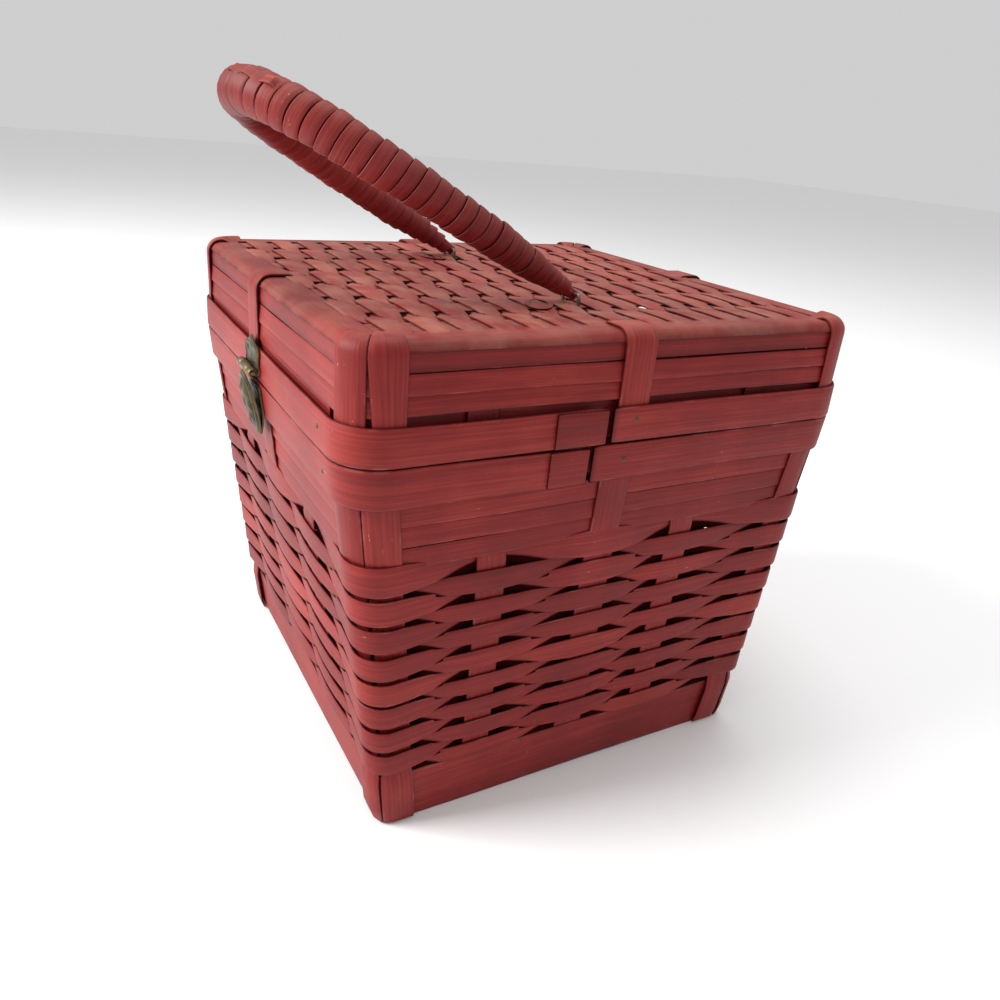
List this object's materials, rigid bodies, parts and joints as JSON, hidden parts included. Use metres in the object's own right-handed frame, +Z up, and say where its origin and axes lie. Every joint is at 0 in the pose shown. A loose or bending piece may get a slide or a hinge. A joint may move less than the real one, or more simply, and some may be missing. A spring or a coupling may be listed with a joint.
{
  "type": "sewing basket",
  "caption": "Square woven splint sewing basket with tapered sides, hinged flat lid, brass hasp and a swinging wrapped arch handle.",
  "frame": {"origin": "middle of the basket's footprint, on the surface that it stands on", "axes": "+Z up; -Y is the front face with the hasp, +Y is the hinged back, X runs along the hinge axis; +X is the side with the bands' laps"},
  "size_m": [0.2141, 0.2342, 0.2722],
  "materials": {
    "red_splint": "thick brushed red paint, satin, worn and dusty on top",
    "handle_splint": "wound splint, brushed red paint, satin",
    "aged_brass": "tarnished stamped sheet brass",
    "wire": "dull wire with paint on it"
  },
  "bodies": {
    "tub": {"body_weave": "red_splint", "base_panel": "red_splint", "foot_band": "red_splint", "border_strip_1": "red_splint", "border_strip_2": "red_splint", "border_strip_3": "red_splint", "rim_band_outer": "red_splint", "rim_band_inner": "red_splint", "rim_band_lap": "red_splint", "stake_right": "red_splint", "stake_back": "red_splint", "stake_left": "red_splint", "stake_front": "red_splint", "corner_stake_back_right_1": "red_splint", "corner_stake_back_right_2": "red_splint", "corner_stake_back_left_1": "red_splint", "corner_stake_back_left_2": "red_splint", "corner_stake_front_left_1": "red_splint", "corner_stake_front_left_2": "red_splint", "corner_stake_front_right_1": "red_splint", "corner_stake_front_right_2": "red_splint", "hinge_left_tub_leaf": "aged_brass", "hinge_right_tub_leaf": "aged_brass", "hinge_left_pin": "aged_brass", "hinge_right_pin": "aged_brass", "hasp_lower_plate": "aged_brass", "hasp_stud": "aged_brass"},
    "lid": {"lid_top_weave": "red_splint", "lid_edge_strip": "red_splint", "lid_side_strip_1": "red_splint", "lid_side_strip_2": "red_splint", "lid_band_outer": "red_splint", "lid_band_inner": "red_splint", "lid_band_lap": "red_splint", "lid_front_strip": "red_splint", "lid_stake_right": "red_splint", "lid_stake_back": "red_splint", "lid_stake_left": "red_splint", "lid_stake_front": "red_splint", "lid_corner_stake_back_right_1": "red_splint", "lid_corner_stake_back_right_2": "red_splint", "lid_corner_stake_back_left_1": "red_splint", "lid_corner_stake_back_left_2": "red_splint", "lid_corner_stake_front_left_1": "red_splint", "lid_corner_stake_front_left_2": "red_splint", "lid_corner_stake_front_right_1": "red_splint", "lid_corner_stake_front_right_2": "red_splint", "handle_staple_left": "wire", "handle_staple_right": "wire", "hinge_left_lid_leaf": "aged_brass", "hinge_right_lid_leaf": "aged_brass", "hasp_upper_plate": "aged_brass", "hasp_pin": "aged_brass"},
    "handle": {"handle_core": "handle_splint", "handle_wrap": "handle_splint"},
    "hasp": {"hasp_flap": "aged_brass"}
  },
  "joints": [
    {"name": "lid_hinge", "type": "hinge", "parent": "tub", "child": "lid", "pos_m": [0, 0.1135, 0.16], "axis": [-1, 0, 0], "range_deg": [0, 105]},
    {"name": "handle_swing", "type": "hinge", "parent": "lid", "child": "handle", "pos_m": [0, -0.001, 0.2032], "axis": [-1, 0, 0], "range_deg": [-15, 135]},
    {"name": "hasp_hinge", "type": "hinge", "parent": "lid", "child": "hasp", "pos_m": [0, -0.1144, 0.1646], "axis": [-1, 0, 0], "range_deg": [0, 130]}
  ]
}
